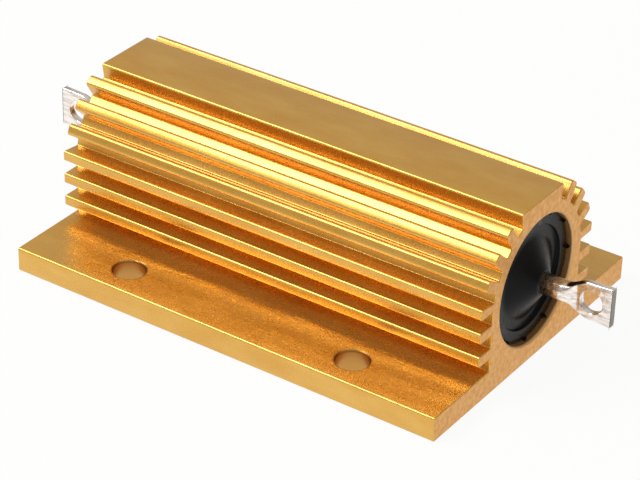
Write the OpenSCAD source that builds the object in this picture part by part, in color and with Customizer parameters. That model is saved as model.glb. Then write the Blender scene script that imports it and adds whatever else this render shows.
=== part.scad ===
// Aluminium housed wirewound power resistor.
// A ceramic rod wound with resistance wire is moulded in black compound inside
// a finned aluminium extrusion, which bolts to a chassis through its base.
// One solder lug leaves the compound at each end.
// Origin: centre of the mounting face. +X along the body, +Z up. Millimetres.

/* [Extruded body] */
// Length of the extrusion, sawn face to sawn face
body_length = 65; // [60:0.5:80]
// Width of the mounting base across both flanges
base_width = 46.2; // [45:0.1:54]
// Thickness of the mounting base
base_thickness = 3.5; // [3:0.1:4]
// Bore that holds the moulded element
bore_diameter = 17.6; // [17:0.1:18.4]
// Chamfer round each mouth of the bore
bore_chamfer = 0.25; // [0.1:0.05:0.5]
// Metal left between the bore and the mounting face
bore_floor = 2.6; // [2.3:0.1:3]
// Wall between the bore and the roots of the fins
tube_wall = 1.85; // [1.6:0.05:2.1]
// Metal between the top of the tube and the top flat
crown_height = 1.15; // [0.8:0.05:1.6]
// Width of the top flat
crown_width = 9.9; // [9.5:0.1:10.4]
// Width of the crown where it meets the tube
crown_root_width = 9.2; // [8.8:0.1:9.4]

/* [Fins] */
// Depth below the bore axis of the point that the radial fins fan out from
fan_drop = 1.8; // [1.4:0.1:2.2]
// Angle of the lowest of the fanned fins above the horizontal
first_fin_angle = 29.7; // [28.5:0.1:30]
// Angle between neighbouring fanned fins
fin_pitch = 14.25; // [14:0.05:14.6]
// Reach of the fanned fins beyond the tube wall
fan_reach = 2.6; // [2.2:0.05:3]
// Thickness of the fanned fins
fin_thickness = 1.6; // [1.4:0.05:1.8]
// Reach of the level fins beyond the tube wall
level_reach = 2.65; // [2.2:0.05:3]
// Thickness of the level fins
level_thickness = 1.5; // [1.3:0.05:1.7]
// Height above the bore axis of the underside of the topmost level fin
shelf_height = 0.8; // [0.6:0.05:1]
// Slope of its upper side, down towards the tube
shelf_slope = 7; // [4:0.5:10]
// Rounding of the fanned fin tips
tip_round = 0.45; // [0.3:0.05:0.6]
// Rounding of the long outer edges
edge_round = 0.3; // [0.15:0.05:0.4]
// Rounding in the slot corners
root_round = 0.2; // [0.1:0.05:0.3]

/* [Mounting holes] */
// Hole spacing along the body
hole_pitch_x = 35; // [30:0.5:45]
// Hole spacing across the body
hole_pitch_y = 37; // [36:0.5:38]
// Diameter of the mounting holes
hole_diameter = 4.4; // [3.5:0.1:4.8]
// Chamfer on the upper rim of each hole
hole_chamfer = 0.2; // [0.1:0.05:0.4]

/* [Moulded element] */
// Depth of the compound's rim below the sawn face
rim_depth = 1; // [0.8:0.05:1.5]
// Width of the flat ring round the rim
ring_width = 1.65; // [1.2:0.05:2]
// Depth of the trough inside the ring, below it
trough_depth = 0.5; // [0.3:0.05:0.6]
// Width of the step from the ring down to the trough
trough_step = 0.15; // [0.05:0.05:0.3]
// Radius at which the trough turns up into the cone
trough_radius = 5.7; // [5:0.1:6]
// Height of the cone's tip beyond the sawn face
cone_height = 0.85; // [0.4:0.05:1.4]
// Collar of compound round the terminal at the cone's tip
collar_width = 0.25; // [0.15:0.05:0.4]
// Rounding at the foot of the cone
foot_round = 1.5; // [0.5:0.1:2]
// Rounding of the rim and of the cone's tip
rim_round = 0.12; // [0.05:0.01:0.12]
// Number of nibs round each rim
nib_count = 11; // [6:1:14]
// Length of a nib along the bore
nib_length = 0.5; // [0.3:0.05:0.7]
// Width of a nib where it leaves the rim
nib_width = 0.6; // [0.4:0.05:0.9]
// Width of a nib at its point
nib_point = 0.1; // [0.05:0.05:0.2]
// Thickness of a nib between the compound and the bore wall
nib_thickness = 0.35; // [0.2:0.05:0.5]
// Angle of the first nib above the horizontal
nib_angle = 3; // [0:1:30]
// Gap between the compound and the pieces that it surrounds or fills
seat_gap = 0.05; // [0.03:0.01:0.08]

/* [Wound core] */
// Diameter of the ceramic rod
core_diameter = 8.5; // [7.5:0.1:9]
// Distance from each sawn face to the end of the ceramic rod
core_inset = 9.5; // [8:0.5:12]
// Chamfer at each end of the rod
core_chamfer = 0.4; // [0.2:0.05:0.6]
// Diameter of the resistance wire
wire_diameter = 0.6; // [0.4:0.05:0.8]
// Distance between neighbouring turns
wire_pitch = 2; // [1.6:0.1:2.6]
// Length of the skirt of each end cap
cap_length = 6; // [4:0.25:7]
// Sheet thickness of each end cap
cap_wall = 0.5; // [0.4:0.05:0.7]
// Clearance between a cap and the rod
cap_fit = 0.02; // [0.01:0.01:0.04]
// Space between the last turn and each cap
winding_margin = 0.05; // [0.03:0.01:0.5]

/* [Terminals] */
// Diameter of the round shank
shank_diameter = 2.8; // [2.4:0.1:3]
// Length of the round shank beyond the sawn face
shank_length = 3.4; // [3:0.1:4]
// Distance from the sawn face to where the lug begins to widen
widening_start = 4.2; // [4:0.1:5]
// Distance from the sawn face to where the lug is flattened to its thickness
flat_start = 6; // [5.6:0.1:6.4]
// Distance from the sawn face to the full width of the lug
shoulder = 7.4; // [7:0.1:7.8]
// Distance from the sawn face to the tip of the lug
lug_reach = 10.7; // [10.4:0.05:11.4]
// Width of the lug at its tip
lug_width = 5.6; // [5.2:0.05:6]
// Width of the lug at its shoulder
lug_neck_width = 5.3; // [5:0.05:5.4]
// Thickness of the flattened lug
lug_thickness = 1; // [0.8:0.05:1.2]
// Rounding of the lug's long edges
lug_edge_round = 0.3; // [0.15:0.05:0.35]
// Rounding of the lug's corners at the tip
lug_corner = 0.2; // [0.15:0.05:0.6]
// Diameter of the hole in the lug
lug_hole = 3.2; // [2.8:0.1:3.4]
// Distance from the sawn face to the centre of the hole
lug_hole_reach = 7.85; // [7.6:0.05:8.2]

/* [Hidden] */
$fn = 64;
cut = 1;                 // how far a cutting solid runs past what it cuts
embed = 0.3;             // how far a joined shape reaches into its carrier
arc_steps = 5;           // straight steps in each rounded corner of an outline
blend_steps = 10;        // rings in the blend from the shank to the lug
skin = 0.02;             // how far the blend stays inside the round of the shank
fanned_fins = 3;         // fanned fins on each side of the crown

// Section of the body
bore_r = bore_diameter / 2;
axis_z = bore_floor + bore_r;
tube_r = bore_r + tube_wall;
fan_r = tube_r + fan_reach;
level_y = tube_r + level_reach;
body_height = axis_z + tube_r + crown_height;
shelf_z = axis_z + shelf_height;
shelf_tip_z = shelf_z + level_thickness;
shelf_root_z = shelf_tip_z - level_reach * tan(shelf_slope);
shelf_root_y = sqrt(tube_r * tube_r - (shelf_root_z - axis_z) * (shelf_root_z - axis_z));
level_gap = (shelf_z - base_thickness - 2 * level_thickness) / 3;

// Moulded element
face_x = body_length / 2;
element_r = bore_r - seat_gap;
rim_x = face_x - rim_depth;
ring_r = element_r - ring_width;
trough_x = rim_x - trough_depth;
shank_r = shank_diameter / 2;
cone_tip_r = shank_r + seat_gap + collar_width;
cone_tip_x = face_x + cone_height;

// Wound core
core_length = body_length - 2 * core_inset;
core_r = core_diameter / 2;
cap_r = core_r + cap_fit + cap_wall;
cap_x = core_length / 2 + cap_wall;
wire_r = wire_diameter / 2;
wire_sides = 6;
turn_steps = 16;
// The wire is drawn as straight steps, so its middle line stands off far enough
// for the middle of each step to clear the rod
wire_path_r = (core_r + seat_gap) / cos(180 / turn_steps) + wire_r;
winding_r = wire_path_r + wire_r;
skirt_x = core_length / 2 - cap_length;
winding_length = 2 * (skirt_x - winding_margin - wire_r);
winding_steps = floor(turn_steps * winding_length / wire_pitch);

// Outline helpers -------------------------------------------------------------

function unit(v) = v / norm(v);
function xy(p) = [p.x, p.y];

// Arc that rounds the corner at b, on an outline that comes from a and goes to c
function corner_arc(a, b, c, r) =
    let (
        to_a = unit(a - b),
        to_c = unit(c - b),
        half = acos(to_a * to_c) / 2,
        centre = b + unit(to_a + to_c) * r / sin(half),
        first = b + to_a * r / tan(half) - centre,
        start = atan2(first.y, first.x),
        sweep = (180 - 2 * half) * sign(cross(b - a, c - b))
    )
    [for (i = [0 : arc_steps])
        let (angle = start + sweep * i / arc_steps)
        centre + r * [cos(angle), sin(angle)]];

// Closed outline with each corner [x, y, radius] rounded; a radius of 0 is sharp
function rounded(corners) =
    let (n = len(corners))
    [for (i = [0 : n - 1])
        each corners[i][2] == 0
            ? [xy(corners[i])]
            : corner_arc(xy(corners[(i + n - 1) % n]), xy(corners[i]),
                         xy(corners[(i + 1) % n]), corners[i][2])];

function reversed(list) = [for (i = [len(list) - 1 : -1 : 0]) list[i]];
function flipped(corners) = [for (p = reversed(corners)) [-p.x, p.y, p[2]]];

// Body --------------------------------------------------------------------------

// Point on a side of fanned fin i, at a distance along the fin from the point that
// the fins fan out from; side is -1 for its lower side and 1 for its upper side
function fin_point(i, side, along) =
    let (
        angle = first_fin_angle + i * fin_pitch,
        out = [cos(angle), sin(angle)],
        up = [-sin(angle), cos(angle)]
    )
    [0, axis_z - fan_drop] + along * out + side * fin_thickness / 2 * up;

// Where that side meets the circle of radius r round the bore axis
function fin_meets(i, side, r) =
    let (
        angle = first_fin_angle + i * fin_pitch,
        start = fin_point(i, side, 0) - [0, axis_z],
        ahead = -(start * [cos(angle), sin(angle)])
    )
    fin_point(i, side, ahead + sqrt(ahead * ahead - start * start + r * r));

function fin_corners(i) = [
    [each fin_meets(i, -1, tube_r), root_round],
    [each fin_meets(i, -1, fan_r), tip_round],
    [each fin_meets(i, 1, fan_r), tip_round],
    [each fin_meets(i, 1, tube_r), root_round]
];

// Corners of one level fin whose underside is at height z
function level_fin_corners(z) = [
    [tube_r, z, root_round],
    [level_y, z, edge_round],
    [level_y, z + level_thickness, edge_round],
    [tube_r, z + level_thickness, root_round]
];

// Height on the round of the tube at a distance y from the middle
function tube_top(y) = axis_z + sqrt(tube_r * tube_r - y * y);

// Corners of the right half of the section, from the base up to the crown
half_section = [
    [base_width / 2, 0, edge_round],
    [base_width / 2, base_thickness, edge_round],
    [tube_r, base_thickness, root_round],
    each level_fin_corners(base_thickness + level_gap),
    each level_fin_corners(base_thickness + 2 * level_gap + level_thickness),
    [tube_r, shelf_z, root_round],
    [level_y, shelf_z, edge_round],
    [level_y, shelf_tip_z, edge_round],
    [shelf_root_y, shelf_root_z, root_round],
    for (i = [0 : fanned_fins - 1]) each fin_corners(i),
    [crown_root_width / 2, tube_top(crown_root_width / 2), root_round],
    [crown_width / 2, body_height, edge_round]
];

module body_section() {
    polygon(rounded(concat(half_section, flipped(half_section))));
}

module mounting_hole() {
    translate([0, 0, -cut])
        cylinder(d = hole_diameter, h = base_thickness + 2 * cut);
    translate([0, 0, base_thickness - hole_chamfer])
        cylinder(d1 = hole_diameter, d2 = hole_diameter + 2 * (hole_chamfer + cut), h = hole_chamfer + cut);
}

module bore_cut() {
    cylinder(r = bore_r, h = body_length + 2 * cut, center = true);
    for (end = [0, 1]) mirror([0, 0, end])
        translate([0, 0, face_x - bore_chamfer])
            cylinder(r1 = bore_r, r2 = bore_r + bore_chamfer + cut, h = bore_chamfer + cut);
}

module housing() {
    color("goldenrod") difference() {
        translate([-face_x, 0, 0]) rotate([90, 0, 90])
            linear_extrude(height = body_length) body_section();
        translate([0, 0, axis_z]) rotate([0, 90, 0]) bore_cut();
        for (x = [-1, 1], y = [-1, 1])
            translate([x * hole_pitch_x / 2, y * hole_pitch_y / 2, 0]) mounting_hole();
    }
}

// Moulded element -----------------------------------------------------------------

// Turns a shape made along +Z so that it lies along +X on the bore axis
module on_axis() {
    translate([0, 0, axis_z]) rotate([0, 90, 0]) children();
}

// Corners of one end of the compound as [radius, distance, rounding]
end_corners = [
    [element_r, rim_x, rim_round],
    [ring_r, rim_x, rim_round],
    [ring_r - trough_step, trough_x, rim_round],
    [trough_radius, trough_x, foot_round],
    [cone_tip_r, cone_tip_x, rim_round],
    [0, cone_tip_x, 0]
];

function other_end(corners) = [for (p = reversed(corners)) [p.x, -p.y, p[2]]];

// Space inside the compound for the caps, the winding and the shanks
module element_space() {
    cylinder(r = winding_r + seat_gap, h = 2 * skirt_x, center = true);
    cylinder(r = cap_r + seat_gap, h = 2 * (cap_x + seat_gap), center = true);
    cylinder(r = shank_r + seat_gap, h = 2 * (cone_tip_x + cut), center = true);
}

// One nib on the bore wall, pointing from the rim towards the sawn face
module nib() {
    outer_r = sqrt(element_r * element_r - nib_width * nib_width / 4);
    translate([outer_r - nib_thickness, 0, rim_x]) rotate([90, 0, 90])
        linear_extrude(height = nib_thickness)
            polygon([
                [-nib_width / 2, -embed],
                [nib_width / 2, -embed],
                [nib_width / 2, 0],
                [nib_point / 2, nib_length],
                [-nib_point / 2, nib_length],
                [-nib_width / 2, 0]
            ]);
}

module moulding() {
    color("dimgray") on_axis() {
        difference() {
            rotate_extrude() polygon(rounded(concat(end_corners, other_end(end_corners))));
            element_space();
        }
        for (end = [0, 1], i = [0 : nib_count - 1]) mirror([0, 0, end])
            rotate([0, 0, 90 + nib_angle + i * 360 / nib_count]) nib();
    }
}

// Wound core ------------------------------------------------------------------------

module ceramic_core() {
    color("ivory") on_axis() rotate_extrude()
        polygon([
            [0, -core_length / 2],
            [core_r - core_chamfer, -core_length / 2],
            [core_r, core_chamfer - core_length / 2],
            [core_r, core_length / 2 - core_chamfer],
            [core_r - core_chamfer, core_length / 2],
            [0, core_length / 2]
        ]);
}

// Triangles that join rings of n points each, listed ring after ring, and close
// the first and the last ring
function ring_faces(rings, n) = [
    [for (k = [0 : n - 1]) k],
    for (i = [0 : rings - 2], k = [0 : n - 1])
        let (a = i * n + k, b = i * n + (k + 1) % n)
        each [[a, b + n, b], [a, a + n, b + n]],
    [for (k = [n - 1 : -1 : 0]) (rings - 1) * n + k]
];

// Corner k of the wire's section at step i along the winding
function wire_point(i, k) =
    let (
        turn = 360 * i / turn_steps,
        around = -360 * k / wire_sides,
        r = wire_path_r + wire_r * cos(around)
    )
    [
        r * cos(turn),
        r * sin(turn),
        wire_r * sin(around) + wire_pitch * (i - winding_steps / 2) / turn_steps
    ];

module resistance_winding() {
    color("silver") on_axis()
        polyhedron(
            points = [for (i = [0 : winding_steps], k = [0 : wire_sides - 1]) wire_point(i, k)],
            faces = ring_faces(winding_steps + 1, wire_sides)
        );
}

module end_cap() {
    difference() {
        translate([0, 0, skirt_x]) cylinder(r = cap_r, h = cap_x - skirt_x);
        translate([0, 0, skirt_x - cut])
            cylinder(r = core_r + cap_fit, h = core_length / 2 - skirt_x + cut);
    }
}

module end_cap_left() {
    color("gray") on_axis() mirror([0, 0, 1]) end_cap();
}

module end_cap_right() {
    color("gray") on_axis() end_cap();
}

// Terminals -------------------------------------------------------------------------

// Even change from 0 to 1 between two distances, level at both
function blend(x, from, to) =
    let (t = min(1, max(0, (x - from) / (to - from))))
    t * t * (3 - 2 * t);

function mix(a, b, t) = a + (b - a) * t;

// Half width of the lug at a distance x beyond the sawn face
function half_width(x) =
    let (
        widened = mix(shank_r - skin, lug_neck_width / 2, blend(x, widening_start, shoulder)),
        past = max(0, (x - shoulder) / (lug_reach - shoulder)),
        corner = max(0, x - lug_reach + lug_corner)
    )
    widened + past * (lug_width - lug_neck_width) / 2
        - lug_corner + sqrt(lug_corner * lug_corner - corner * corner);

// Rounded rectangle across the lug at a distance x beyond the sawn face
function lug_ring(x) =
    let (
        flat = blend(x, shank_length, flat_start),
        r = mix(shank_r - 2 * skin, lug_edge_round, flat),
        wide = half_width(x),
        thick = mix(shank_r - skin, lug_thickness / 2, flat)
    )
    [for (quarter = [0 : 3], i = [0 : arc_steps])
        let (
            angle = 90 * (quarter + i / arc_steps),
            side = [quarter == 0 || quarter == 3 ? 1 : -1, quarter < 2 ? 1 : -1]
        )
        [
            side.x * (wide - r) + r * cos(angle),
            side.y * (thick - r) + r * sin(angle),
            face_x + x
        ]];

lug_stations = [
    for (i = [0 : blend_steps]) mix(shank_length - embed, shoulder, i / blend_steps),
    for (i = [0 : arc_steps]) lug_reach - lug_corner + lug_corner * sin(90 * i / arc_steps)
];

module terminal() {
    on_axis() difference() {
        union() {
            translate([0, 0, cap_x]) cylinder(r = shank_r, h = face_x + shank_length - cap_x);
            polyhedron(
                points = [for (x = lug_stations) each lug_ring(x)],
                faces = ring_faces(len(lug_stations), 4 * (arc_steps + 1))
            );
        }
        translate([0, 0, face_x + lug_hole_reach]) rotate([90, 0, 0])
            cylinder(d = lug_hole, h = 2 * lug_thickness, center = true);
    }
}

module terminal_left() {
    color("silver") mirror([1, 0, 0]) terminal();
}

module terminal_right() {
    color("silver") terminal();
}

housing();
moulding();
ceramic_core();
resistance_winding();
end_cap_left();
end_cap_right();
terminal_left();
terminal_right();
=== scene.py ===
import math

import bmesh
import bpy
import numpy as np
from mathutils import Matrix, Vector


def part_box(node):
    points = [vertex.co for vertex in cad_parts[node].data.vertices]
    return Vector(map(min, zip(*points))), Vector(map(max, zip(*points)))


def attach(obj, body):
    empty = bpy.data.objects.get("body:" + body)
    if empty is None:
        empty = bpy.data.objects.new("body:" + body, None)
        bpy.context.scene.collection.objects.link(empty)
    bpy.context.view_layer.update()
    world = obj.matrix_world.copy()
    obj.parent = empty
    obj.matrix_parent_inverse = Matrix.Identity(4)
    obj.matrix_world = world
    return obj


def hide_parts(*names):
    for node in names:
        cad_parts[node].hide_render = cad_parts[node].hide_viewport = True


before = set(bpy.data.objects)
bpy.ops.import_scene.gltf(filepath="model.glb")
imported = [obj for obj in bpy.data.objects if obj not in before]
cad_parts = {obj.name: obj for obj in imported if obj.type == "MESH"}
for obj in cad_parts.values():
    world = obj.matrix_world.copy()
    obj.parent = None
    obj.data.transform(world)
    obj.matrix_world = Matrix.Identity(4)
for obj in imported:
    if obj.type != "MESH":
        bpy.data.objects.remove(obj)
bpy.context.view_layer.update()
mm = 0.001
scene = bpy.context.scene
print("frame loaded:", sorted(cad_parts))


def hexColour(text):  # sRGB hex to the linear colour that nodes take
    parts = [int(text[i:i + 2], 16) / 255 for i in (0, 2, 4)]
    return [p / 12.92 if p <= 0.04045 else ((p + 0.055) / 1.055) ** 2.4 for p in parts] + [1.0]


def perMillimetre(*sizes):  # Mapping scale that makes one grain of a pattern measure these millimetres
    return [1 / (size * mm) for size in sizes]


def addNode(tree, kind, links=None, values=None, **settings):
    # one node, what feeds it, its values and settings
    node = tree.nodes.new(kind)
    for name, setting in settings.items():
        setattr(node, name, setting)
    for socket, value in (values or {}).items():
        node.inputs[socket].default_value = value
    for socket, source in (links or {}).items():
        tree.links.new(source, node.inputs[socket])
    return node


def newMaterial(name):  # an empty material with its shader and the object's own coordinates
    material = bpy.data.materials.new(name)
    material.use_nodes = True
    tree = material.node_tree
    tree.nodes.clear()
    shader = addNode(tree, "ShaderNodeBsdfPrincipled")
    addNode(tree, "ShaderNodeOutputMaterial", {"Surface": shader.outputs["BSDF"]})
    coords = addNode(tree, "ShaderNodeTexCoord").outputs["Object"]
    return material, tree, shader, coords


def joinedCopy(nodeName, pieceName, materials, join=0.002, sharpAngle=30, surfaces=None):
    # the CAD node's own form with its loose triangles joined, its flat faces made whole and its
    # curved ones smooth; surfaces gives each face its material from its normal and its centre
    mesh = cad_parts[nodeName].data.copy()
    mesh.name = pieceName
    work = bmesh.new()
    work.from_mesh(mesh)
    bmesh.ops.remove_doubles(work, verts=work.verts, dist=join * mm)
    bmesh.ops.dissolve_limit(work, angle_limit=math.radians(0.3), verts=work.verts, edges=work.edges)
    work.to_mesh(mesh)
    work.free()
    mesh.materials.clear()
    for material in materials:
        mesh.materials.append(material)
    count = len(mesh.polygons)
    mesh.polygons.foreach_set("use_smooth", np.ones(count, bool))
    if surfaces:
        normals = np.empty(count * 3)
        centres = np.empty(count * 3)
        mesh.polygons.foreach_get("normal", normals)
        mesh.polygons.foreach_get("center", centres)
        mesh.polygons.foreach_set("material_index", surfaces(normals.reshape(-1, 3), centres.reshape(-1, 3)))
    mesh.set_sharp_from_angle(angle=math.radians(sharpAngle))
    piece = bpy.data.objects.new(pieceName, mesh)
    scene.collection.objects.link(piece)
    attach(piece, "root")
    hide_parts(nodeName)
    return piece


def breakEdges(piece, width, segments, angle):  # rounds the edges sharper than angle, width in millimetres
    edges = piece.modifiers.new("brokenEdges", "BEVEL")
    edges.width = width * mm
    edges.segments = segments
    edges.limit_method = "ANGLE"
    edges.angle_limit = math.radians(angle)
    edges.use_clamp_overlap = False
    edges.harden_normals = True


housingLow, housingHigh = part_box("housing")
compoundLow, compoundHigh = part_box("moulding")
axisHeight = (compoundLow.z + compoundHigh.z) / 2
compoundRadius = (compoundHigh.z - compoundLow.z) / 2

anodised = {
    "gold": "E8B655",          # dyed oxide over bright metal
    "goldDeep": "DFA843",      # where the dye took more strongly
    "metallic": 0.8,           # the rest scatters in the dyed oxide
    "roughness": 0.30,
    "oxide": 0.5,              # how much the clear top of the oxide shows
    "oxideRoughness": 0.2,
    "oxideIor": 1.6,
    "dieLineWidth": 0.16,      # lengthwise lines from the extrusion die, mm
    "sawn": "E8B470",          # the sawn ends took the dye paler and pinker
    "sawnDeep": "DDA35A",
    "bored": "E6BC86",
    "boredDeep": "C99755",
    "drilled": "C8914A",
    # sizes and depths of the finish on the fins and on the base, mm
    "fins": {"grainSize": 0.22, "grainDepth": 0.0025, "dieLineDepth": 0.004, "waveDepth": 0.02},
    "base": {"grainSize": 0.26, "grainDepth": 0.010, "dieLineDepth": 0.002, "waveDepth": 0.16},
    # spacing of the tool's rings along x, y and z, mm
    "boreRings": (0.2, 40, 40),
    "drillRings": (40, 40, 0.25),
}


def extrudedGold(name, grainSize, grainDepth, dieLineDepth, waveDepth):
    # Anodised aluminium, extruded, etched and dyed gold: a satin metal that tints what it reflects,
    # under a clear oxide skin, with fine etched grain, faint lines along the extrusion and slow waves.
    # The grain is drawn about three times as coarse as it is, so that it shows
    material, tree, shader, coords = newMaterial(name)
    grain = addNode(tree, "ShaderNodeTexNoise", {"Vector": coords},
                    {"Scale": 1 / (grainSize * mm), "Detail": 3.0}).outputs["Fac"]
    alongDie = addNode(tree, "ShaderNodeMapping", {"Vector": coords},
                       {"Scale": perMillimetre(70, anodised["dieLineWidth"], anodised["dieLineWidth"])})
    dieLines = addNode(tree, "ShaderNodeTexNoise", {"Vector": alongDie.outputs[0]},
                       {"Scale": 1.0, "Detail": 2.0}).outputs["Fac"]
    alongDye = addNode(tree, "ShaderNodeMapping", {"Vector": coords}, {"Scale": perMillimetre(9, 3.4, 3.4)})
    dye = addNode(tree, "ShaderNodeTexNoise", {"Vector": alongDye.outputs[0]},
                  {"Scale": 1.0, "Detail": 3.0, "Roughness": 0.55}).outputs["Fac"]
    dyeAmount = addNode(tree, "ShaderNodeMapRange", {"Value": dye}, {"From Min": 0.35, "From Max": 0.65})
    colour = addNode(tree, "ShaderNodeMix", {0: dyeAmount.outputs[0]},
                     {6: hexColour(anodised["gold"]), 7: hexColour(anodised["goldDeep"])}, data_type="RGBA")
    tree.links.new(colour.outputs[2], shader.inputs["Base Color"])
    shader.inputs["Metallic"].default_value = anodised["metallic"]
    shader.inputs["Coat Weight"].default_value = anodised["oxide"]
    shader.inputs["Coat Roughness"].default_value = anodised["oxideRoughness"]
    shader.inputs["Coat IOR"].default_value = anodised["oxideIor"]
    rough = addNode(tree, "ShaderNodeMapRange", {"Value": grain},
                    {"From Min": 0.3, "From Max": 0.7,
                     "To Min": anodised["roughness"] - 0.06, "To Max": anodised["roughness"] + 0.06})
    tree.links.new(rough.outputs[0], shader.inputs["Roughness"])
    waved = addNode(tree, "ShaderNodeBump", {"Height": dye}, {"Distance": waveDepth * mm})
    lined = addNode(tree, "ShaderNodeBump", {"Height": dieLines, "Normal": waved.outputs[0]},
                    {"Distance": dieLineDepth * mm})
    etched = addNode(tree, "ShaderNodeBump", {"Height": grain, "Normal": lined.outputs[0]},
                     {"Distance": grainDepth * mm})
    tree.links.new(etched.outputs[0], shader.inputs["Normal"])
    return material


def sawnGold():
    # Anodised aluminium, sawn and then brushed: matte and paler, with fine straight saw lines
    material, tree, shader, coords = newMaterial("anodisedSawnEnd")
    alongSaw = addNode(tree, "ShaderNodeMapping", {"Vector": coords},
                       {"Scale": perMillimetre(1, 0.14, 16), "Rotation": (math.radians(14), 0, 0)})
    sawLines = addNode(tree, "ShaderNodeTexNoise", {"Vector": alongSaw.outputs[0]},
                       {"Scale": 1.0, "Detail": 2.0}).outputs["Fac"]
    grain = addNode(tree, "ShaderNodeTexNoise", {"Vector": coords},
                    {"Scale": 1 / (0.6 * mm), "Detail": 4.0}).outputs["Fac"]
    stain = addNode(tree, "ShaderNodeMapRange", {"Value": grain}, {"From Min": 0.35, "From Max": 0.7})
    colour = addNode(tree, "ShaderNodeMix", {0: stain.outputs[0]},
                     {6: hexColour(anodised["sawn"]), 7: hexColour(anodised["sawnDeep"])}, data_type="RGBA")
    tree.links.new(colour.outputs[2], shader.inputs["Base Color"])
    shader.inputs["Metallic"].default_value = 1.0
    rough = addNode(tree, "ShaderNodeMapRange", {"Value": grain},
                    {"From Min": 0.3, "From Max": 0.7, "To Min": 0.42, "To Max": 0.56})
    tree.links.new(rough.outputs[0], shader.inputs["Roughness"])
    lined = addNode(tree, "ShaderNodeBump", {"Height": sawLines}, {"Distance": 0.004 * mm})
    etched = addNode(tree, "ShaderNodeBump", {"Height": grain, "Normal": lined.outputs[0]},
                     {"Distance": 0.006 * mm})
    tree.links.new(etched.outputs[0], shader.inputs["Normal"])
    return material


def cutGold(name, light, deep, ringScale, roughness):
    # Anodised aluminium, bored or drilled: fine rings from the tool round the hole, dull and browner
    material, tree, shader, coords = newMaterial(name)
    alongRings = addNode(tree, "ShaderNodeMapping", {"Vector": coords}, {"Scale": ringScale})
    rings = addNode(tree, "ShaderNodeTexNoise", {"Vector": alongRings.outputs[0]},
                    {"Scale": 1.0, "Detail": 2.0}).outputs["Fac"]
    ringAmount = addNode(tree, "ShaderNodeMapRange", {"Value": rings}, {"From Min": 0.35, "From Max": 0.65})
    colour = addNode(tree, "ShaderNodeMix", {0: ringAmount.outputs[0]},
                     {6: hexColour(light), 7: hexColour(deep)}, data_type="RGBA")
    tree.links.new(colour.outputs[2], shader.inputs["Base Color"])
    shader.inputs["Metallic"].default_value = 1.0
    shader.inputs["Roughness"].default_value = roughness
    bump = addNode(tree, "ShaderNodeBump", {"Height": rings}, {"Distance": 0.004 * mm})
    tree.links.new(bump.outputs[0], shader.inputs["Normal"])
    return material


housingAreas = {
    "baseTop": 0.155,      # top of the base, as a share of the height
    "flangeFrom": 0.6,     # where the flanges start, as a share of the half width
    "margin": 1.0,         # the screw holes lie further than this from the edges, mm
    "boreMargin": 0.5,     # the bore's wall lies within this of the moulding, mm
}


def housingSurfaces(normals, centres):
    # 0 fins and top flat, 1 sawn end, 2 bore, 3 screw holes, 4 base
    margin = housingAreas["margin"] * mm
    boreRadius = compoundRadius + housingAreas["boreMargin"] * mm
    fromAxis = np.hypot(centres[:, 1], centres[:, 2] - axisHeight)
    inward = -(normals[:, 1] * centres[:, 1] + normals[:, 2] * (centres[:, 2] - axisHeight)) / fromAxis
    fromMiddle = np.abs(centres[:, 1])
    inFlange = (fromMiddle > housingHigh.y * housingAreas["flangeFrom"]) & (fromMiddle < housingHigh.y - margin)
    clearOfEnds = np.abs(centres[:, 0]) < housingHigh.x - margin
    surfaces = np.where(centres[:, 2] < housingHigh.z * housingAreas["baseTop"], 4, 0)
    surfaces[np.abs(normals[:, 0]) > 0.9] = 1
    surfaces[(fromAxis < boreRadius) & (inward > 0.3)] = 2
    surfaces[inFlange & clearOfEnds & (np.abs(normals[:, 2]) < 0.9)] = 3
    return surfaces.astype(np.int32)


housingEdges = {
    "width": 0.16,     # rounding that tumbling left on the sawn edges, mm
    "segments": 3,
    "angle": 40,
}
housing = joinedCopy("housing", "finnedHousing",
                     [extrudedGold("anodisedFins", **anodised["fins"]),
                      sawnGold(),
                      cutGold("anodisedBore", anodised["bored"], anodised["boredDeep"],
                              perMillimetre(*anodised["boreRings"]), roughness=0.55),
                      cutGold("anodisedScrewHole", anodised["drilled"], anodised["boredDeep"],
                              perMillimetre(*anodised["drillRings"]), roughness=0.3),
                      extrudedGold("anodisedBase", **anodised["base"])],
                     surfaces=housingSurfaces)
breakEdges(housing, **housingEdges)
print("housing:", len(housing.data.polygons), "faces")

compound = {
    "black": "060606",
    "worn": "0E0D0C",      # slightly greyer where the mould was polished
    "rim": "4B4741",       # the flat rim, painted grey as a painted sheen on the black compound
    "rimPale": "55514A",
    "roughness": 0.30,
    "grainSize": 0.5,      # mould texture, mm
    "edgeRound": 0.05,
}


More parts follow.
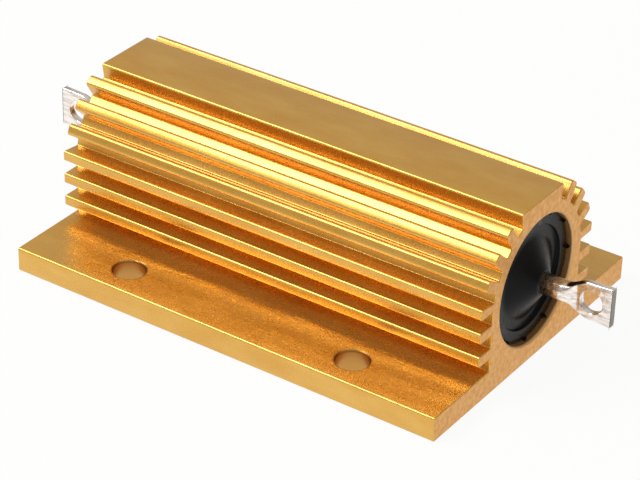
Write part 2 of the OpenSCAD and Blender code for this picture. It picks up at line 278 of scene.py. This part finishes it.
def mouldedBlack(name, light, dark):
    # Silicone or epoxy moulding compound: near black, soft sheen, faint mould texture
    material, tree, shader, coords = newMaterial(name)
    texture = addNode(tree, "ShaderNodeTexNoise", {"Vector": coords},
                      {"Scale": 1 / (compound["grainSize"] * mm), "Detail": 4.0}).outputs["Fac"]
    flow = addNode(tree, "ShaderNodeTexNoise", {"Vector": coords},
                   {"Scale": 1 / (3 * mm), "Detail": 2.0}).outputs["Fac"]
    flowAmount = addNode(tree, "ShaderNodeMapRange", {"Value": flow}, {"From Min": 0.35, "From Max": 0.65})
    colour = addNode(tree, "ShaderNodeMix", {0: flowAmount.outputs[0]},
                     {6: hexColour(light), 7: hexColour(dark)}, data_type="RGBA")
    tree.links.new(colour.outputs[2], shader.inputs["Base Color"])
    shader.inputs["Specular IOR Level"].default_value = 0.12
    rough = addNode(tree, "ShaderNodeMapRange", {"Value": texture},
                    {"From Min": 0.3, "From Max": 0.7,
                     "To Min": compound["roughness"] - 0.05, "To Max": compound["roughness"] + 0.08})
    tree.links.new(rough.outputs[0], shader.inputs["Roughness"])
    bump = addNode(tree, "ShaderNodeBump", {"Height": texture}, {"Distance": 0.006 * mm})
    tree.links.new(bump.outputs[0], shader.inputs["Normal"])
    return material


def compoundSurfaces(normals, centres):  # 0 black, 1 the flat rim, which carries a painted sheen
    fromAxis = np.hypot(centres[:, 1], centres[:, 2] - axisHeight)
    flat = (np.abs(normals[:, 0]) > 0.98) & (fromAxis > compoundRadius * 0.83)
    return flat.astype(np.int32)


moulding = joinedCopy("moulding", "blackCompound",
                      [mouldedBlack("mouldingCompound", compound["black"], compound["worn"]),
                       # the flat rim's grey is a painted sheen, a painted reflection on the black compound
                       mouldedBlack("mouldingRimPaintedSheen", compound["rim"], compound["rimPale"])],
                      sharpAngle=35, surfaces=compoundSurfaces)
breakEdges(moulding, compound["edgeRound"], 2, 40)
print("moulding compound done")

tin = {
    "bright": "FFF6EE",
    "dull": "B9AFA8",
    "sheared": "8E8D80",   # the cut tip shows the dull core
    "shearedPale": "A39F93",
    "roughness": 0.15,
    "ripple": 1.3,         # slow ripple of dipped tin, mm
    "edgeRound": 0.08,
}


def dippedTin():
    # Hot dipped tin over copper: bright, slightly wavy, with dull smudges drawn out along the pin
    material, tree, shader, coords = newMaterial("dippedTin")
    ripple = addNode(tree, "ShaderNodeTexNoise", {"Vector": coords},
                     {"Scale": 1 / (tin["ripple"] * mm), "Detail": 2.0}).outputs["Fac"]
    alongPin = addNode(tree, "ShaderNodeMapping", {"Vector": coords},
                       {"Scale": perMillimetre(2.4, 0.45, 0.45)})
    smudge = addNode(tree, "ShaderNodeTexNoise", {"Vector": alongPin.outputs[0]},
                     {"Scale": 1.0, "Detail": 4.0}).outputs["Fac"]
    dullness = addNode(tree, "ShaderNodeMapRange", {"Value": smudge}, {"From Min": 0.4, "From Max": 0.75})
    colour = addNode(tree, "ShaderNodeMix", {0: dullness.outputs[0]},
                     {6: hexColour(tin["bright"]), 7: hexColour(tin["dull"])}, data_type="RGBA")
    tree.links.new(colour.outputs[2], shader.inputs["Base Color"])
    shader.inputs["Metallic"].default_value = 1.0
    rough = addNode(tree, "ShaderNodeMapRange", {"Value": smudge},
                    {"From Min": 0.3, "From Max": 0.7,
                     "To Min": tin["roughness"] - 0.04, "To Max": tin["roughness"] + 0.12})
    tree.links.new(rough.outputs[0], shader.inputs["Roughness"])
    waves = addNode(tree, "ShaderNodeBump", {"Height": ripple}, {"Distance": 0.06 * mm})
    drawn = addNode(tree, "ShaderNodeBump", {"Height": smudge, "Normal": waves.outputs[0]},
                    {"Distance": 0.008 * mm})
    tree.links.new(drawn.outputs[0], shader.inputs["Normal"])
    return material


def shearedTip():
    # Copper alloy sheared after tinning: dull grey, dragged lines across the thickness
    material, tree, shader, coords = newMaterial("shearedTip")
    alongShear = addNode(tree, "ShaderNodeMapping", {"Vector": coords}, {"Scale": perMillimetre(2, 0.12, 3)})
    drag = addNode(tree, "ShaderNodeTexNoise", {"Vector": alongShear.outputs[0]},
                   {"Scale": 1.0, "Detail": 3.0}).outputs["Fac"]
    dragAmount = addNode(tree, "ShaderNodeMapRange", {"Value": drag}, {"From Min": 0.35, "From Max": 0.65})
    colour = addNode(tree, "ShaderNodeMix", {0: dragAmount.outputs[0]},
                     {6: hexColour(tin["sheared"]), 7: hexColour(tin["shearedPale"])}, data_type="RGBA")
    tree.links.new(colour.outputs[2], shader.inputs["Base Color"])
    shader.inputs["Metallic"].default_value = 0.8
    shader.inputs["Roughness"].default_value = 0.5
    bump = addNode(tree, "ShaderNodeBump", {"Height": drag}, {"Distance": 0.01 * mm})
    tree.links.new(bump.outputs[0], shader.inputs["Normal"])
    return material


lugForm = {
    "shank": 1.4,          # radius of the round shank, mm
    "shankEnd": 3.4,       # all distances are beyond the sawn face, mm
    "widenFrom": 4.2,
    "flatFrom": 6.0,
    "shoulder": 7.4,
    "neck": 2.65,          # half width at the shoulder, mm
    "tip": 2.8,            # half width at the tip, mm
    "thin": 0.5,           # half thickness, mm
    "edge": 0.3,           # rounding of the long edges, mm
    "corner": 0.2,         # rounding of the tip's corners, mm
    "hole": 1.6,           # radius, mm
    "holeAt": 7.85,
    "shankRings": 12,      # rings of points along each stretch
    "blendRings": 64,
    "lugRings": 8,
    "tipRings": 9,
    "cornerPoints": 17,    # points round each quarter turn
    "holeSides": 96,
}


def easeBetween(x, start, end):  # 0 before start, 1 after end, level at both
    t = np.clip((x - start) / (end - start), 0, 1)
    return t * t * (3 - 2 * t)


def solderLug(side, sign, materials):
    # A rounded rectangle carried along the bore axis: its half width, half thickness and corner radius
    # ease from the shank's radius to the flat lug's, and its points run a quarter turn round each corner
    low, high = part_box("terminal_" + side)
    face = housingHigh.x / mm
    inner, outer = sorted(abs(v) / mm for v in (low.x, high.x))
    reach = outer - face
    corner = lugForm["corner"]
    tipTurn = np.linspace(0, math.pi / 2, lugForm["tipRings"])[1:]
    x = np.concatenate([[inner - face], np.linspace(0.5, lugForm["shankEnd"], lugForm["shankRings"]),
                        np.linspace(lugForm["shankEnd"], lugForm["shoulder"], lugForm["blendRings"])[1:],
                        np.linspace(lugForm["shoulder"], reach - corner, lugForm["lugRings"])[1:],
                        reach - corner + corner * np.sin(tipTurn)])
    flat = easeBetween(x, lugForm["shankEnd"], lugForm["flatFrom"])
    radius = lugForm["shank"] + (lugForm["edge"] - lugForm["shank"]) * flat
    thick = lugForm["shank"] + (lugForm["thin"] - lugForm["shank"]) * flat
    widened = easeBetween(x, lugForm["widenFrom"], lugForm["shoulder"])
    pastShoulder = np.clip((x - lugForm["shoulder"]) / (reach - lugForm["shoulder"]), 0, 1)
    wide = lugForm["shank"] + (lugForm["neck"] - lugForm["shank"]) * widened
    wide += pastShoulder * (lugForm["tip"] - lugForm["neck"])
    wide -= corner - np.sqrt(np.maximum(0, corner ** 2 - np.maximum(0, x - reach + corner) ** 2))
    quarter = lugForm["cornerPoints"]
    turns = np.radians(np.concatenate([np.linspace(q * 90, q * 90 + 90, quarter) for q in range(4)]))
    signZ = np.repeat([1, -1, -1, 1], quarter)
    signY = np.repeat([1, 1, -1, -1], quarter)
    z = signZ * (wide - radius)[:, None] + radius[:, None] * np.cos(turns)
    y = signY * (thick - radius)[:, None] + radius[:, None] * np.sin(turns)
    along = np.broadcast_to((face + x)[:, None] * sign, z.shape)
    points = np.stack([along, y, z + axisHeight / mm], axis=-1) * mm
    rings, around = z.shape
    i, k = np.meshgrid(np.arange(rings - 1), np.arange(around), indexing="ij")
    nextK = (k + 1) % around
    quads = np.stack([i * around + k, i * around + nextK,
                      (i + 1) * around + nextK, (i + 1) * around + k], axis=-1)
    mesh = bpy.data.meshes.new("solderLug_" + side)
    ends = [list(range(around)), [(rings - 1) * around + n for n in range(around)]]
    mesh.from_pydata(points.reshape(-1, 3).tolist(), [], quads.reshape(-1, 4).tolist() + ends)
    work = bmesh.new()
    work.from_mesh(mesh)
    bmesh.ops.remove_doubles(work, verts=work.verts, dist=0.0005 * mm)
    bmesh.ops.recalc_face_normals(work, faces=work.faces)
    work.to_mesh(mesh)
    work.free()
    piece = bpy.data.objects.new("solderLug_" + side, mesh)
    scene.collection.objects.link(piece)
    # the hole is drilled with a plain cylinder that is thrown away
    bpy.ops.mesh.primitive_cylinder_add(
        vertices=lugForm["holeSides"], radius=lugForm["hole"] * mm, depth=4 * mm,
        rotation=(math.pi / 2, 0, 0), location=(sign * (face + lugForm["holeAt"]) * mm, 0, axisHeight))
    drill = bpy.context.object
    drilled = piece.modifiers.new("drilled", "BOOLEAN")
    drilled.operation = "DIFFERENCE"
    drilled.solver = "EXACT"
    drilled.object = drill
    evaluated = piece.evaluated_get(bpy.context.evaluated_depsgraph_get())
    piece.data = bpy.data.meshes.new_from_object(evaluated)
    piece.modifiers.clear()
    bpy.data.objects.remove(drill)
    mesh = piece.data
    mesh.materials.clear()
    for material in materials:
        mesh.materials.append(material)
    count = len(mesh.polygons)
    centres = np.empty(count * 3)
    mesh.polygons.foreach_get("center", centres)
    atTip = np.abs(centres.reshape(-1, 3)[:, 0]) > (outer - 0.01) * mm
    mesh.polygons.foreach_set("material_index", atTip.astype(np.int32))
    mesh.polygons.foreach_set("use_smooth", np.ones(count, bool))
    mesh.set_sharp_from_angle(angle=math.radians(40))
    breakEdges(piece, tin["edgeRound"], 3, 50)
    even = piece.modifiers.new("evenShading", "WEIGHTED_NORMAL")
    even.keep_sharp = True
    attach(piece, "root")
    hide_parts("terminal_" + side)


tinned, sheared = dippedTin(), shearedTip()
solderLug("left", -1, [tinned, sheared])
solderLug("right", 1, [tinned, sheared])
print("terminals done")

pressedSheet = {"light": "B3B1AC", "dark": "98958F", "metallic": 1.0, "roughness": 0.30,
                "grain": (2, 0.2, 0.2)}   # size of the grain along x, y and z, mm
inside = {
    "ceramic_core": {"light": "E6E2D6", "dark": "D6D0C2", "metallic": 0.0, "roughness": 0.60,
                     "grain": (0.4, 0.4, 0.4)},
    "resistance_winding": {"light": "9C9A97", "dark": "7F7C78", "metallic": 1.0, "roughness": 0.35,
                           "grain": (0.3, 0.3, 0.3)},
    "end_cap_left": pressedSheet,
    "end_cap_right": pressedSheet,
}


def innerFinish(name, light, dark, metallic, roughness, grain):
    # Plain finishes for what the compound hides: fired ceramic, drawn wire, pressed sheet
    material, tree, shader, coords = newMaterial(name + "Finish")
    alongGrain = addNode(tree, "ShaderNodeMapping", {"Vector": coords}, {"Scale": perMillimetre(*grain)})
    texture = addNode(tree, "ShaderNodeTexNoise", {"Vector": alongGrain.outputs[0]},
                      {"Scale": 1.0, "Detail": 3.0}).outputs["Fac"]
    colour = addNode(tree, "ShaderNodeMix", {0: texture},
                     {6: hexColour(light), 7: hexColour(dark)}, data_type="RGBA")
    tree.links.new(colour.outputs[2], shader.inputs["Base Color"])
    shader.inputs["Metallic"].default_value = metallic
    rough = addNode(tree, "ShaderNodeMapRange", {"Value": texture},
                    {"From Min": 0.3, "From Max": 0.7, "To Min": roughness - 0.08, "To Max": roughness + 0.08})
    tree.links.new(rough.outputs[0], shader.inputs["Roughness"])
    return material


for nodeName, finish in inside.items():
    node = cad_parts[nodeName]
    node.data.materials.clear()
    node.data.materials.append(innerFinish(nodeName, **finish))
print("inner parts done")

studio = {
    "floorColour": "FAFAFA",
    "floorMottle": "F8F8F8",
    "mottleSize": 40,               # mm
    "floorSize": 3.0,               # m across
    "floorWhite": 0.93,             # share of even white in what is seen of the floor
    "skyColour": "FFF8F0",
    "sky": 0.62,                    # even light from above
    "horizon": 0.42,                # and from low down
    "keyDirection": (-137, 50),     # azimuth and elevation, degrees
    "keyDistance": 0.6,
    "keySize": (0.34, 0.27),
    "keyWatts": 1.9,
}


def onSphere(azimuth, elevation):  # the direction with these angles, in degrees
    a, e = math.radians(azimuth), math.radians(elevation)
    return Vector((math.cos(e) * math.cos(a), math.cos(e) * math.sin(a), math.sin(e)))


def aimed(obj, place, target, roll=0.0):  # looks from place at target, its up side kept level but for roll
    back = (place - target).normalized()
    right = Vector((0, 0, 1)).cross(back).normalized()
    up = back.cross(right)
    turn = Matrix((right, up, back)).transposed()
    rolled = Matrix.Rotation(math.radians(roll), 4, "Z")
    obj.matrix_world = Matrix.Translation(place) @ turn.to_4x4() @ rolled


def whitePaper():
    # White paper sweep: matt, and seen as even white with the object's shadow kept
    material, tree, shader, coords = newMaterial("whitePaper")
    mottle = addNode(tree, "ShaderNodeTexNoise", {"Vector": coords},
                     {"Scale": 1 / (studio["mottleSize"] * mm)}).outputs["Fac"]
    colour = addNode(tree, "ShaderNodeMix", {0: mottle},
                     {6: hexColour(studio["floorColour"]), 7: hexColour(studio["floorMottle"])}, data_type="RGBA")
    tree.links.new(colour.outputs[2], shader.inputs["Base Color"])
    shader.inputs["Roughness"].default_value = 0.9
    shader.inputs["Specular IOR Level"].default_value = 0.1
    ray = addNode(tree, "ShaderNodeLightPath")
    seen = addNode(tree, "ShaderNodeMath",
                   {0: ray.outputs["Is Camera Ray"], 1: ray.outputs["Is Glossy Ray"]}, operation="MAXIMUM")
    seenThrough = addNode(tree, "ShaderNodeMath",
                          {0: seen.outputs[0], 1: ray.outputs["Is Transmission Ray"]}, operation="MAXIMUM")
    share = addNode(tree, "ShaderNodeMath", {0: seenThrough.outputs[0]}, {1: studio["floorWhite"]},
                    operation="MULTIPLY")
    white = addNode(tree, "ShaderNodeEmission", values={"Color": hexColour("FFFFFF"), "Strength": 1.0})
    both = addNode(tree, "ShaderNodeMixShader",
                   {0: share.outputs[0], 1: shader.outputs[0], 2: white.outputs[0]})
    tree.links.new(both.outputs[0], tree.nodes["Material Output"].inputs["Surface"])
    return material


bpy.ops.mesh.primitive_plane_add(size=studio["floorSize"], location=(0, 0, housingLow.z))
floor = bpy.context.object
floor.name = "floor"
floor.data.materials.append(whitePaper())

# the room is a little dimmer low down than overhead
world = bpy.data.worlds.new("softRoom")
scene.world = world
world.use_nodes = True
room = world.node_tree
skyPoint = addNode(room, "ShaderNodeTexCoord")
skyHeight = addNode(room, "ShaderNodeSeparateXYZ", {0: skyPoint.outputs["Generated"]})
skyLevel = addNode(room, "ShaderNodeMapRange", {"Value": skyHeight.outputs["Z"]},
                   {"From Min": 0.0, "From Max": 0.9, "To Min": studio["horizon"], "To Max": studio["sky"]})
room.nodes["Background"].inputs["Color"].default_value = hexColour(studio["skyColour"])
room.links.new(skyLevel.outputs[0], room.nodes["Background"].inputs["Strength"])


def softbox(name, direction, distance, size, watts):  # an oblong lamp that faces the middle of the bore
    light = bpy.data.lights.new(name, "AREA")
    light.shape = "RECTANGLE"
    light.size, light.size_y = size
    light.energy = watts
    lamp = bpy.data.objects.new(name, light)
    scene.collection.objects.link(lamp)
    target = Vector((0, 0, axisHeight))
    aimed(lamp, target + onSphere(*direction) * distance, target)


softbox("keySoftbox", studio["keyDirection"], studio["keyDistance"],
        studio["keySize"], studio["keyWatts"])

view = {
    "azimuth": -56.087,
    "elevation": 31.427,
    "roll": 1.567,
    "distance": 345.0,                 # mm from the point looked at
    "target": (0.25, -0.755, 5.805),   # mm
    "lens": 148.234,                   # mm
    "sensor": 36.0,                    # mm wide
    "clipStart": 0.01,                 # m
}
cameraData = bpy.data.cameras.new("camera")
cameraData.lens = view["lens"]
cameraData.sensor_width = view["sensor"]
cameraData.clip_start = view["clipStart"]
camera = bpy.data.objects.new("camera", cameraData)
scene.collection.objects.link(camera)
target = Vector(view["target"]) * mm
place = target + onSphere(view["azimuth"], view["elevation"]) * view["distance"] * mm
aimed(camera, place, target, view["roll"])
scene.camera = camera
scene.view_settings.view_transform = "Standard"
print("stage done")
